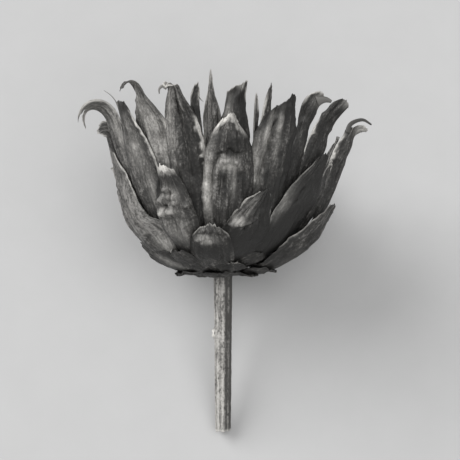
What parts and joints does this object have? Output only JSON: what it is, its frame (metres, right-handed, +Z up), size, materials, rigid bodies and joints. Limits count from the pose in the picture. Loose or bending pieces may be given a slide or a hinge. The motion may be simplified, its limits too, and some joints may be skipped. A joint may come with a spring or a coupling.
{
  "type": "dried artichoke head",
  "caption": "Dried, opened artichoke head on a cut stem, lying down: an empty cup of overlapping dark leathery bracts with torn, curling tips.",
  "frame": {"origin": "middle of the head and stem as they lie, on the surface that they lie on", "axes": "+Z up; +Y from the cut end of the stem towards the open mouth of the cup; +X to the right as seen from above with the stem at the bottom"},
  "size_m": [0.1124, 0.1284, 0.1008],
  "materials": {
    "bract": "dry, ribbed, faint sheen",
    "scale": "dry, matt",
    "stem": "dry, finely ribbed",
    "receptacle": "dry, pithy, matt"
  },
  "bodies": {
    "root": {"stem": "stem", "receptacle": "receptacle", "base_scale_1": "scale", "base_scale_2": "scale", "base_scale_3": "scale", "base_scale_4": "scale", "base_scale_5": "scale", "base_scale_6": "scale", "low_scale_1": "scale", "low_scale_2": "scale", "low_scale_3": "scale", "low_scale_4": "scale", "low_scale_5": "scale", "low_scale_6": "scale", "low_scale_7": "scale", "short_bract_1": "bract", "short_bract_2": "bract", "short_bract_3": "bract", "short_bract_4": "bract", "short_bract_5": "bract", "short_bract_6": "bract", "outer_bract_1": "bract", "outer_bract_2": "bract", "outer_bract_3": "bract", "outer_bract_4": "bract", "outer_bract_5": "bract", "outer_bract_6": "bract", "outer_bract_7": "bract", "wall_bract_1": "bract", "wall_bract_2": "bract", "wall_bract_3": "bract", "wall_bract_4": "bract", "wall_bract_5": "bract", "wall_bract_6": "bract", "wall_bract_7": "bract", "tall_bract_1": "bract", "tall_bract_2": "bract", "tall_bract_3": "bract", "tall_bract_4": "bract", "tall_bract_5": "bract", "tall_bract_6": "bract", "tall_bract_7": "bract", "tall_bract_8": "bract", "inner_bract_1": "bract", "inner_bract_2": "bract", "inner_bract_3": "bract", "inner_bract_4": "bract", "inner_bract_5": "bract", "inner_bract_6": "bract", "inner_bract_7": "bract", "inner_bract_8": "bract", "heart_bract_1": "bract", "heart_bract_2": "bract", "heart_bract_3": "bract"}
  },
  "joints": []
}
